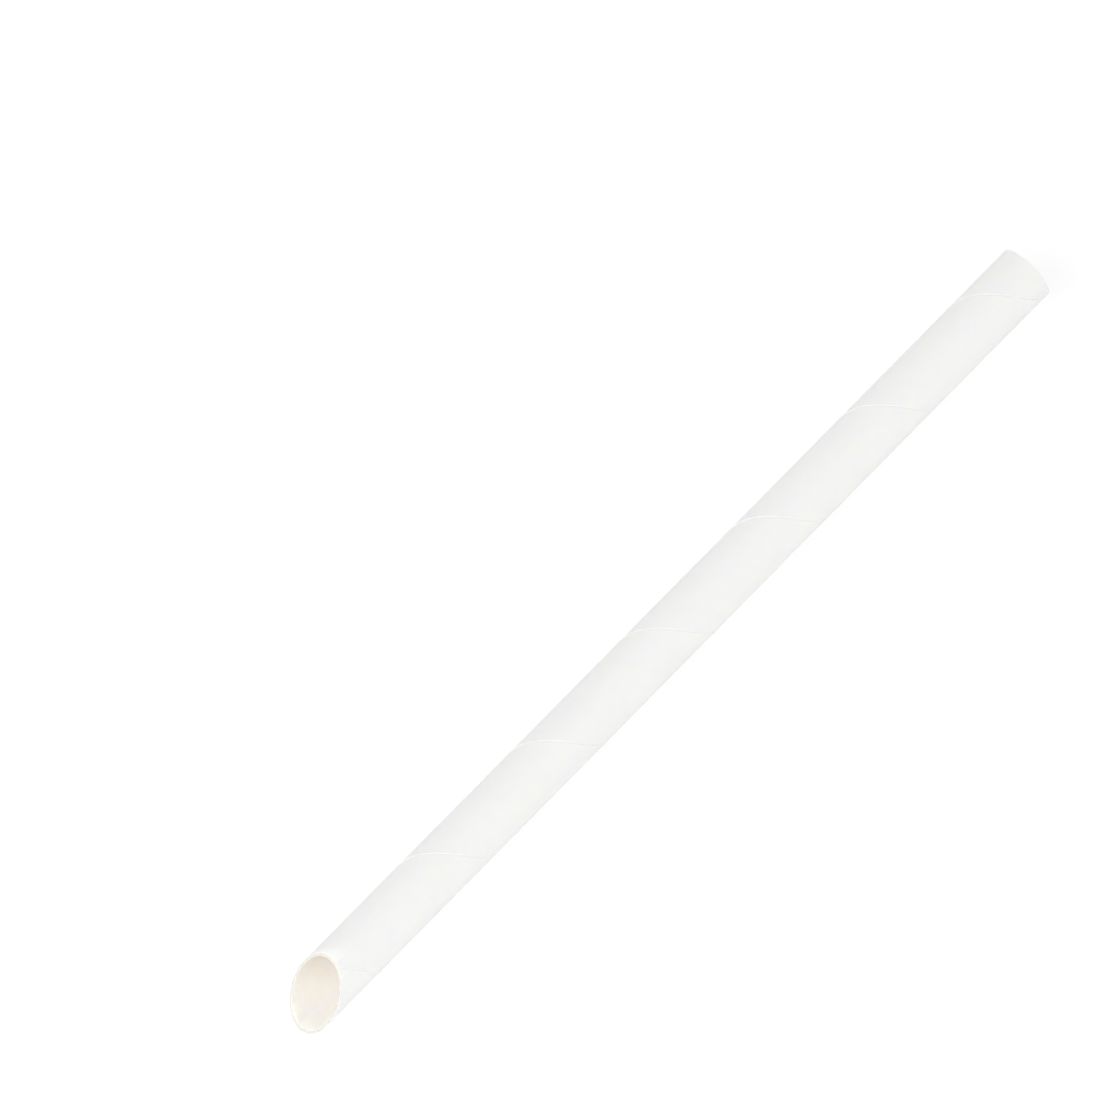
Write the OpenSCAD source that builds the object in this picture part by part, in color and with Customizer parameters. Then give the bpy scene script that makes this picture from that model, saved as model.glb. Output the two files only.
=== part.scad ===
// Spiral-wound paper drinking straw, of the wide kind for thick drinks: a round tube of
// glued paper plies, cut on a slant at one end and square at the other. A thin cover ply
// lies over thicker ones, and the innermost of these lines the bore.
// It lies along X on the plane z = 0, slanted end toward -X. The tip of its point is
// underneath, because that side of the tube is the longer and heavier one.
// The joints where the turns of the paper ribbon meet are open to the depth of one ply,
// outside in the cover ply and inside in the lining ply.

/* [Tube] */
// Outside diameter of the tube
outer_d = 12; // [8:0.5:16]
// Overall length, from the tip of the point to the square end
length = 210; // [120:5:260]
// Thickness of the cover ply
cover_t = 0.1; // [0.06:0.01:0.16]
// Thickness of each ply under the cover
ply_t = 0.19; // [0.12:0.01:0.26]
// Number of plies under the cover
plies = 2; // [1:1:4]
// Angle between the slanted cut and the tube's axis
cut_angle = 45; // [25:1:80]

/* [Winding] */
// Angle between the edges of the paper ribbon and the tube's axis
winding_angle = 50; // [35:0.5:65]
// Width of the open joint between neighbouring turns of the ribbon
joint_gap = 0.3; // [0.1:0.05:0.6]
// Distance from the square end to the cover ply's first joint along the top of the tube
cover_joint_x = 11.2; // [0:0.1:30]
// Distance from the square end to the lining ply's first joint along the top of the tube
lining_joint_x = 20.5; // [0:0.1:30]

/* [Hidden] */
$fn = 96;
outer_r = outer_d / 2;
wall_t = cover_t + plies * ply_t;
bore_r = outer_r - wall_t;
slant_run = outer_d / sin(cut_angle);  // length of the slanted face
pitch = PI * outer_d / tan(winding_angle);  // advance of the joint in one turn
joint_arc = joint_gap / cos(winding_angle);  // width of the joint across the axis
steps_per_turn = 36;  // flats that follow one turn of a joint
blade_sides = 4;  // the blade's outline keeps its four corners as it sweeps
over = 1;  // how far the bore and the joints run past the ends
skim = 0.1;  // how far a joint's blade stands out of its own ply

// Turns children that are drawn upright into the lying tube, so that they run from x
// toward the square end, or away from it
module along_tube(x, away = false) {
    translate([x, 0, outer_r])
        rotate([0, away ? -90 : 90, 0])
            children();
}

// The round tube, square at both ends
module tube() {
    along_tube(-length / 2)
        cylinder(h = length, r = outer_r);
}

// The clear way that a drink passes through
module bore() {
    along_tube(-length / 2 - over)
        cylinder(h = length + 2 * over, r = bore_r);
}

// All that lies past the slanted cut, which starts underneath at the tip of the point
module slant_offcut() {
    translate([-length / 2, -outer_d, 0])
        rotate([0, -cut_angle, 0])
            translate([-outer_d, 0, 0])
                cube([slant_run + 2 * outer_d, 2 * outer_d, 2 * outer_d]);
}

// The open joint of one ply: a blade that follows the right-hand winding, swept from past
// the square end to past the point
module joint(low_r, high_r, first_x) {
    run = length + 2 * over;
    along_tube(length / 2 + over, away = true)
        rotate([0, 0, -360 * (first_x + over) / pitch])
            linear_extrude(
                height = run,
                twist = -360 * run / pitch,
                slices = ceil(steps_per_turn * run / pitch),
                segments = blade_sides
            )
                translate([low_r, -joint_arc / 2])
                    square([high_r - low_r, joint_arc]);
}

module straw() {
    color("whitesmoke")
        difference() {
            tube();
            bore();
            slant_offcut();
            joint(outer_r - cover_t, outer_r + skim, cover_joint_x);
            joint(bore_r - skim, bore_r + ply_t, lining_joint_x);
        }
}

straw();
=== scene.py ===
from math import atan2, ceil, cos, floor, hypot, pi, radians, sin, tan

import bmesh
import bpy
from mathutils import Matrix, Vector, noise


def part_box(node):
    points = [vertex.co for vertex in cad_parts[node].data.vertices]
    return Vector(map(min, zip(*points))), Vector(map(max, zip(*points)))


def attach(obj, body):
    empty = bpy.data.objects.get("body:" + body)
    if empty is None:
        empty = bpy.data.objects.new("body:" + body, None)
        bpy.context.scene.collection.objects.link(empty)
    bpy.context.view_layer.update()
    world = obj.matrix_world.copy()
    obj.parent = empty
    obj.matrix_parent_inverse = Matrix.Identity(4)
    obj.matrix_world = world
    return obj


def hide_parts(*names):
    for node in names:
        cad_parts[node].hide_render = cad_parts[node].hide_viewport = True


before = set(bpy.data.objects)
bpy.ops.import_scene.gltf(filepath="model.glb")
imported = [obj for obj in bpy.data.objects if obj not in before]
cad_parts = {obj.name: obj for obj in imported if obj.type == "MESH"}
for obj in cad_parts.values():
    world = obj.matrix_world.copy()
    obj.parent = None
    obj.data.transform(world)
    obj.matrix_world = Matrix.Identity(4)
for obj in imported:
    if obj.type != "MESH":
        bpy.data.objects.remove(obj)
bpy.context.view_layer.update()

mm = 0.001
strawLow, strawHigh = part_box("straw")
print("frame loaded")


def hexColour(code):
    # an sRGB hex value as the linear colour that a shader wants
    channels = [int(code[i:i + 2], 16) / 255 for i in (1, 3, 5)]
    linear = [c / 12.92 if c <= 0.04045 else ((c + 0.055) / 1.055) ** 2.4 for c in channels]
    return (*linear, 1)


pureWhite = hexColour("#FFFFFF")


def addNode(tree, kind, links=None, **settings):
    # links gives the sockets by name or number: another node's output, or a plain value
    node = tree.nodes.new(kind)
    for name, value in settings.items():
        setattr(node, name, value)
    for name, value in (links or {}).items():
        if isinstance(value, bpy.types.NodeSocket):
            tree.links.new(value, node.inputs[name])
        else:
            node.inputs[name].default_value = value
    return node


def startMaterial(name):
    material = bpy.data.materials.new(name)
    material.use_nodes = True
    material.node_tree.nodes.clear()
    return material, material.node_tree


def seenDirectly(tree):
    # 1 for the camera, for mirror reflections and for what is seen through glass, else 0
    path = addNode(tree, "ShaderNodeLightPath")
    either = addNode(tree, "ShaderNodeMath", {
        0: path.outputs["Is Camera Ray"], 1: path.outputs["Is Glossy Ray"]}, operation="MAXIMUM")
    return addNode(tree, "ShaderNodeMath", {
        0: either.outputs[0], 1: path.outputs["Is Transmission Ray"]},
        operation="MAXIMUM").outputs[0]


# Camera: above the tube's long side, turned so that the tube runs from the lower left to
# the upper right of the frame
camera = {
    "elevation": 58.33,  # degrees above the floor
    "tilt": 15.05,  # degrees that the tube leans towards the lens
    "roll": 45.29,  # degrees, the tube's slope in the frame
    "distance": 4.0,
    "frameWidth": 213.73 * mm,  # what the frame takes in at the tube
    "right": -21.93 * mm,  # the middle of the frame, from the middle of the tube
    "up": 17.7 * mm,
    "sensor": 36,
    "farClip": 16.0,
}


def makeCamera():
    tilt, roll, elevation = (radians(camera[k]) for k in ("tilt", "roll", "elevation"))
    side = Vector((0, -cos(elevation), sin(elevation)))
    back = Vector((-sin(tilt), 0, 0)) + cos(tilt) * side
    along = Vector((cos(tilt), 0, 0)) + sin(tilt) * side
    across = back.cross(along)
    right = cos(roll) * along - sin(roll) * across
    up = sin(roll) * along + cos(roll) * across
    middle = Vector((0, 0, (strawLow[2] + strawHigh[2]) / 2))
    target = middle + camera["right"] * right + camera["up"] * up
    place = target + camera["distance"] * back
    lens = bpy.data.cameras.new("tableCamera")
    lens.sensor_width = camera["sensor"]
    lens.lens = camera["sensor"] * camera["distance"] / camera["frameWidth"]
    lens.clip_end = camera["farClip"]
    seat = bpy.data.objects.new("tableCamera", lens)
    seat.matrix_world = Matrix.Translation(place) @ Matrix((right, up, back)).transposed().to_4x4()
    bpy.context.collection.objects.link(seat)
    bpy.context.scene.camera = seat


makeCamera()
print("camera placed")


# Studio: a dim white dome and five soft lamps over a white table. Two of the lamps look into
# the slanted mouth and a weak one into the square end, and one stands low on each side.
studio = {
    "domeStrength": 0.3,
    "tableColour": "#F9F9F9",
    "tableSize": 6.0,
    "shadowShare": 0.12,  # how much of the table's true shade the eye sees
    "tableGlow": 1.03,  # the even white that makes up the rest
    "lampDistance": 6.0,
    "lampWidth": 9.0,
    "lampHeight": 2.6,
    # each lamp's heading from the camera's side towards the mouth, its elevation, its power
    "lamps": {
        "mouthLow": (80, 20, 153),
        "mouthHigh": (90, 50, 262),
        "squareEnd": (270, 25, 60),
        "front": (0, 12, 100),
        "back": (180, 20, 60),
    },
}


def makeTable():
    material, tree = startMaterial("matt white table board")
    shade = addNode(tree, "ShaderNodeBsdfDiffuse", {"Color": hexColour(studio["tableColour"])})
    seenShade = addNode(tree, "ShaderNodeBsdfDiffuse", {"Color": pureWhite})
    white = addNode(tree, "ShaderNodeEmission", {"Strength": studio["tableGlow"]})
    seen = addNode(tree, "ShaderNodeMixShader", {
        0: studio["shadowShare"], 1: white.outputs[0], 2: seenShade.outputs[0]})
    mix = addNode(tree, "ShaderNodeMixShader", {
        0: seenDirectly(tree), 1: shade.outputs[0], 2: seen.outputs[0]})
    addNode(tree, "ShaderNodeOutputMaterial", {"Surface": mix.outputs[0]})
    board = bmesh.new()
    bmesh.ops.create_grid(board, x_segments=1, y_segments=1, size=studio["tableSize"] / 2)
    mesh = bpy.data.meshes.new("table")
    board.to_mesh(mesh)
    board.free()
    mesh.materials.append(material)
    table = bpy.data.objects.new("table", mesh)
    bpy.context.collection.objects.link(table)


def makeDome():
    world = bpy.data.worlds.new("white dome")
    world.use_nodes = True
    tree = world.node_tree
    tree.nodes.clear()
    light = addNode(tree, "ShaderNodeBackground", {
        "Color": pureWhite, "Strength": studio["domeStrength"]})
    white = addNode(tree, "ShaderNodeBackground", {"Color": pureWhite, "Strength": 1.0})
    mix = addNode(tree, "ShaderNodeMixShader", {
        0: seenDirectly(tree), 1: light.outputs[0], 2: white.outputs[0]})
    addNode(tree, "ShaderNodeOutputWorld", {"Surface": mix.outputs[0]})
    bpy.context.scene.world = world


def makeLamp(name, heading, elevation, power):
    lamp = bpy.data.lights.new(name, "AREA")
    lamp.shape = "RECTANGLE"
    lamp.size, lamp.size_y = studio["lampWidth"], studio["lampHeight"]
    lamp.energy = power
    heading, elevation = radians(heading), radians(elevation)
    level = cos(elevation)
    place = Vector((-level * sin(heading), -level * cos(heading), sin(elevation)))
    place *= studio["lampDistance"]
    aim = place.to_track_quat("Z", "Y").to_matrix().to_4x4()
    holder = bpy.data.objects.new(name, lamp)
    holder.matrix_world = Matrix.Translation(place) @ aim
    holder.visible_camera = False
    bpy.context.collection.objects.link(holder)


makeTable()
makeDome()
for lampName, lampValues in studio["lamps"].items():
    makeLamp(lampName, *lampValues)
bpy.context.scene.view_settings.view_transform = "Standard"
print("studio lit")


# What the three papers share
pulp = {
    "ior": 1.47,
    "specular": 0.3,
    "roughnessSpread": 0.06,
    "translucence": 1.0,
    "colourReach": (1.0, 1.0, 0.85),  # red, green and blue light's share of lightReach
    "fibreDetail": 4.0,
    "fibreRoughness": 0.6,
    "cloudDetail": 3.0,
    "cloudRoughness": 0.5,
    "cloudRange": (0.3, 0.7),  # where the clouds start to show and where they are full
}


def fibreRelief(tree, paper, vector):
    # the felted fibres, drawn out along the ribbon as the paper machine lays them
    stretched = addNode(tree, "ShaderNodeMapping", {
        "Vector": vector, "Scale": (1 / paper["fibreLength"], 1 / paper["fibreWidth"], 1)})
    fibres = addNode(tree, "ShaderNodeTexNoise", {
        "Vector": stretched.outputs[0], "Scale": 1.0, "Detail": pulp["fibreDetail"],
        "Roughness": pulp["fibreRoughness"]}, noise_dimensions="2D")
    return fibres.outputs[0]


def clouds(tree, paper, vector):
    # the cloudy look of paper held to the light, where the fibres lie thicker
    spread = addNode(tree, "ShaderNodeMapping", {
        "Vector": vector, "Scale": (1 / paper["cloudSize"],) * 3})
    soft = addNode(tree, "ShaderNodeTexNoise", {
        "Vector": spread.outputs[0], "Scale": 1.0, "Detail": pulp["cloudDetail"],
        "Roughness": pulp["cloudRoughness"]}, noise_dimensions="2D")
    start, full = pulp["cloudRange"]
    ramp = addNode(tree, "ShaderNodeMapRange", {
        "Value": soft.outputs[0], "From Min": start, "From Max": full})
    return ramp.outputs[0]


def makePaper(paper):
    material, tree = startMaterial(paper["name"])
    vector = addNode(tree, "ShaderNodeUVMap", uv_map="ribbon").outputs[0]
    relief = fibreRelief(tree, paper, vector)
    colour = addNode(tree, "ShaderNodeMix", {
        "Factor": clouds(tree, paper, vector),
        "A": hexColour(paper["colour"]), "B": hexColour(paper["thinColour"])}, data_type="RGBA")
    rough = addNode(tree, "ShaderNodeMapRange", {
        "Value": relief, "To Min": paper["roughness"] - pulp["roughnessSpread"],
        "To Max": paper["roughness"] + pulp["roughnessSpread"]})
    bump = addNode(tree, "ShaderNodeBump", {
        "Height": relief, "Strength": paper["reliefStrength"], "Distance": paper["reliefDepth"]})
    shader = addNode(tree, "ShaderNodeBsdfPrincipled", {
        "Base Color": colour.outputs["Result"], "Roughness": rough.outputs[0],
        "Normal": bump.outputs[0], "IOR": pulp["ior"], "Specular IOR Level": pulp["specular"],
        "Subsurface Weight": pulp["translucence"], "Subsurface Scale": paper["lightReach"],
        "Subsurface Radius": pulp["colourReach"]})
    addNode(tree, "ShaderNodeOutputMaterial", {"Surface": shader.outputs[0]})
    return material


# Bleached kraft, pressed smooth between rolls and food safe: white, matt, faintly cloudy
coverPaper = {
    "name": "bleached kraft cover paper",
    "colour": "#FCF8F5",
    "thinColour": "#FBF7F3",
    "lightReach": 0.15 * mm,  # how far light gets in the paper
    "cloudSize": 2.4 * mm,
    "fibreLength": 2.2 * mm,
    "fibreWidth": 0.16 * mm,  # a real fibre is 0.03 mm wide, which the frame can't show
    "reliefDepth": 0.01 * mm,
    "reliefStrength": 0.5,
    "roughness": 0.74,
}

# The same pulp left uncoated inside, where it takes on a warmer, creamy tone
liningPaper = {
    "name": "uncoated lining paper",
    "colour": "#FEF5F0",
    "thinColour": "#FCF3EC",
    "lightReach": 0.4 * mm,
    "cloudSize": 1.8 * mm,
    "fibreLength": 1.8 * mm,
    "fibreWidth": 0.18 * mm,
    "reliefDepth": 0.015 * mm,
    "reliefStrength": 0.6,
    "roughness": 0.85,
}

# Paper cut across its plies: raw, open fibre, darker partly in its own tone and partly as painted
# shade that dims the rims facing the lamps
cutPaperAndPaintedShade = {
    "name": "cut paper edge with painted shade",
    # painted shade in part: these greys deepen the raw fibre's tone so that the lamp-lit rims
    # render darker
    "colour": "#DEDBD6",
    "thinColour": "#D6D2CC",
    "lightReach": 0.15 * mm,
    "cloudSize": 0.5 * mm,
    "fibreLength": 0.3 * mm,
    "fibreWidth": 0.1 * mm,
    "reliefDepth": 0.03 * mm,
    "reliefStrength": 0.8,
    "roughness": 0.92,
}

papers = [makePaper(paper) for paper in (coverPaper, liningPaper, cutPaperAndPaintedShade)]
coverSlot, liningSlot, cutSlot = range(len(papers))
print("papers made")


# The straw lies along X. Its diameter and length come from the frame.
straw = {
    "coverThickness": 0.1 * mm,  # the outermost ply, thinner than the ones beneath
    "plyThickness": 0.19 * mm,
    "plies": 2,  # beneath the cover; the innermost of them is the lining
    "cutAngle": 45,  # degrees, between the slanted cut and the axis
    "windingAngle": 50,  # degrees, between the ribbon's edges and the axis
    "jointGap": 0.3 * mm,
    "coverJoint": 11.2 * mm,  # from the square end, along the top of the tube
    "liningJoint": 20.5 * mm,
    "stepsPerTurn": 144,
    "edgeLift": 0.03 * mm,  # how far the ribbon's cut edges stand off the ply beneath
    "liftRun": 0.9 * mm,  # over this distance from the joint
    "liftSteps": 4,
    "flatSteps": 6,  # in the settled paper between two joints
    "corner": 0.03 * mm,  # rounding of the ribbon's edges and of the rims
    "raggedness": 0.02 * mm,  # how far the knife's cut wanders at the rims
    "wanderSize": 0.8 * mm,
    "sharpAngle": 35,  # degrees; a sharper edge is shaded as a crease
}

tubeRadius = (strawHigh[2] - strawLow[2]) / 2
tubeAxis = Vector((0, 0, strawLow[2] + tubeRadius))
pointTip, squareEnd = strawLow[0], strawHigh[0]
boreRadius = tubeRadius - straw["coverThickness"] - straw["plies"] * straw["plyThickness"]
ribbonAngle = radians(straw["windingAngle"])
pitch = 2 * pi * tubeRadius / tan(ribbonAngle)
halfJoint = straw["jointGap"] / sin(ribbonAngle) / 2
coverStart = squareEnd - straw["coverJoint"]
liningStart = squareEnd - straw["liningJoint"]
merge = 0.005 * mm  # corners nearer than this become one
onPlane = 0.0001 * mm  # and this near to a cut, they count as on it


def radiusOf(place):
    return hypot(place.y - tubeAxis.y, place.z - tubeAxis.z)


def setRadius(vert, radius):
    scale = radius / radiusOf(vert.co)
    vert.co.y = tubeAxis.y + (vert.co.y - tubeAxis.y) * scale
    vert.co.z = tubeAxis.z + (vert.co.z - tubeAxis.z) * scale


def plyProfile(surface, thickness, outward, lift):
    # (x, radius) from the middle of one joint to the middle of the next
    # outward is 1 for the cover, whose free side looks out, and -1 for the lining
    corner = straw["corner"]
    bottom = surface - outward * thickness
    rise = [(0, bottom), (halfJoint, bottom), (halfJoint, surface - outward * corner)]
    liftSteps, flatSteps = straw["liftSteps"], straw["flatSteps"]
    for step in range(liftSteps + 1):
        settled = 1 - (1 - step / liftSteps) ** 2
        rise.append((halfJoint + corner + straw["liftRun"] * step / liftSteps,
                     surface - outward * lift * settled))
    flatStart, flatRadius = rise[-1]
    flatRun = (pitch - 2 * flatStart) / flatSteps
    flat = [(flatStart + flatRun * step, flatRadius) for step in range(1, flatSteps)]
    return rise + flat + [(pitch - x, radius) for x, radius in reversed(rise)]


def windPly(tube, profile, jointStart):
    # sweeps one pitch of the ply's face through one turn of the right-hand winding, then
    # repeats that turn past both ends
    back = ceil((jointStart - pointTip) / pitch + 1)
    start = jointStart - back * pitch
    turns = ceil((squareEnd - start) / pitch)
    steps = straw["stepsPerTurn"]
    points = [tube.verts.new((start + x, 0, tubeAxis.z + radius)) for x, radius in profile]
    lines = [tube.edges.new(pair) for pair in zip(points, points[1:])]
    bmesh.ops.spin(tube, geom=points + lines, cent=tubeAxis, axis=(1, 0, 0),
                   dvec=(pitch / steps, 0, 0), angle=2 * pi, steps=steps)
    # a tag marks what the other ply has already wound
    oneTurn = [piece for piece in tube.verts[:] + tube.edges[:] + tube.faces[:]
               if not piece.tag]
    for turn in range(1, turns):
        copy = bmesh.ops.duplicate(tube, geom=oneTurn)["geom"]
        moved = [piece for piece in copy if isinstance(piece, bmesh.types.BMVert)]
        bmesh.ops.translate(tube, vec=(turn * pitch, 0, 0), verts=moved)
    for piece in tube.verts[:] + tube.edges[:] + tube.faces[:]:
        piece.tag = True


def trimEnd(tube, place, outside):
    # cuts the tube off at a plane, rounds both edges of its wall there and closes the wall
    # the first of the two cuts only scores the ring where the rounding starts
    corner = straw["corner"]
    for depth in (corner, 0):
        everything = tube.verts[:] + tube.edges[:] + tube.faces[:]
        bmesh.ops.bisect_plane(tube, geom=everything, dist=onPlane, plane_no=outside,
                               plane_co=place - depth * outside, clear_outer=(depth == 0))
    rim = [edge for edge in tube.edges if edge.is_boundary
           and all(abs((vert.co - place).dot(outside)) < merge for vert in edge.verts)]
    for vert in {vert for edge in rim for vert in edge.verts}:
        radius = radiusOf(vert.co)
        if radius > tubeRadius - 2 * corner:
            setRadius(vert, radius - corner)
        elif radius < boreRadius + 2 * corner:
            setRadius(vert, radius + corner)
        wander = 0.5 + 0.5 * noise.noise(vert.co / straw["wanderSize"])
        offPlane = (vert.co - place).dot(outside) + straw["raggedness"] * wander
        vert.co.x -= offPlane / outside.x
    wall = bmesh.ops.triangle_fill(tube, edges=rim, normal=outside, use_beauty=True)
    for piece in wall["geom"]:
        if isinstance(piece, bmesh.types.BMFace):
            # the rim wall takes the cut paper, whose grey is partly painted shade
            piece.material_index = cutSlot


def ribbonPlace(place, near, slot):
    # how far a point is along the paper ribbon and across it, both in metres
    # near is the middle of its face, and tells which turn of the ribbon it is on
    if slot == cutSlot:
        return place.y, place.z
    radius, jointStart = tubeRadius, coverStart
    if slot == liningSlot:
        radius, jointStart = boreRadius, liningStart
    turnOf = [atan2(-p.y, p.z - tubeAxis.z) for p in (near, place)]
    turnHere = turnOf[1] + 2 * pi * round((turnOf[0] - turnOf[1]) / (2 * pi))
    count = floor((near.x - jointStart - pitch * turnOf[0] / (2 * pi)) / pitch)
    arc = radius * (turnHere + 2 * pi * count)
    run = place.x - jointStart
    along = run * cos(ribbonAngle) + arc * sin(ribbonAngle)
    across = run * sin(ribbonAngle) - arc * cos(ribbonAngle)
    return along, across


def dressStraw(tube):
    ribbon = tube.loops.layers.uv.new("ribbon")
    middleRadius = (tubeRadius + boreRadius) / 2
    for face in tube.faces:
        face.smooth = True
        near = face.calc_center_median()
        if face.material_index != cutSlot:
            face.material_index = coverSlot if radiusOf(near) > middleRadius else liningSlot
        for loop in face.loops:
            loop[ribbon].uv = ribbonPlace(loop.vert.co, near, face.material_index)


def makeStraw():
    tube = bmesh.new()
    cover = plyProfile(tubeRadius, straw["coverThickness"], 1, straw["edgeLift"])
    lining = plyProfile(boreRadius, straw["plyThickness"], -1, 0)
    windPly(tube, cover, coverStart)
    windPly(tube, lining, liningStart)
    bmesh.ops.remove_doubles(tube, verts=tube.verts, dist=merge)
    print("plies wound:", len(tube.faces), "faces")
    slant = radians(straw["cutAngle"])
    trimEnd(tube, Vector((squareEnd, 0, 0)), Vector((1, 0, 0)))
    trimEnd(tube, Vector((pointTip, 0, strawLow[2])), Vector((-sin(slant), 0, cos(slant))))
    bmesh.ops.recalc_face_normals(tube, faces=tube.faces)
    dressStraw(tube)
    openEdges = sum(not edge.is_manifold for edge in tube.edges)
    print("straw closed:", len(tube.faces), "faces,", openEdges, "open edges,",
          round(tube.calc_volume(signed=True) / mm ** 3), "mm3")
    mesh = bpy.data.meshes.new("woundStraw")
    tube.to_mesh(mesh)
    tube.free()
    mesh.set_sharp_from_angle(angle=radians(straw["sharpAngle"]))
    for paper in papers:
        mesh.materials.append(paper)
    piece = bpy.data.objects.new("woundStraw", mesh)
    bpy.context.collection.objects.link(piece)
    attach(piece, "root")
    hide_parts("straw")


makeStraw()
print("straw made")
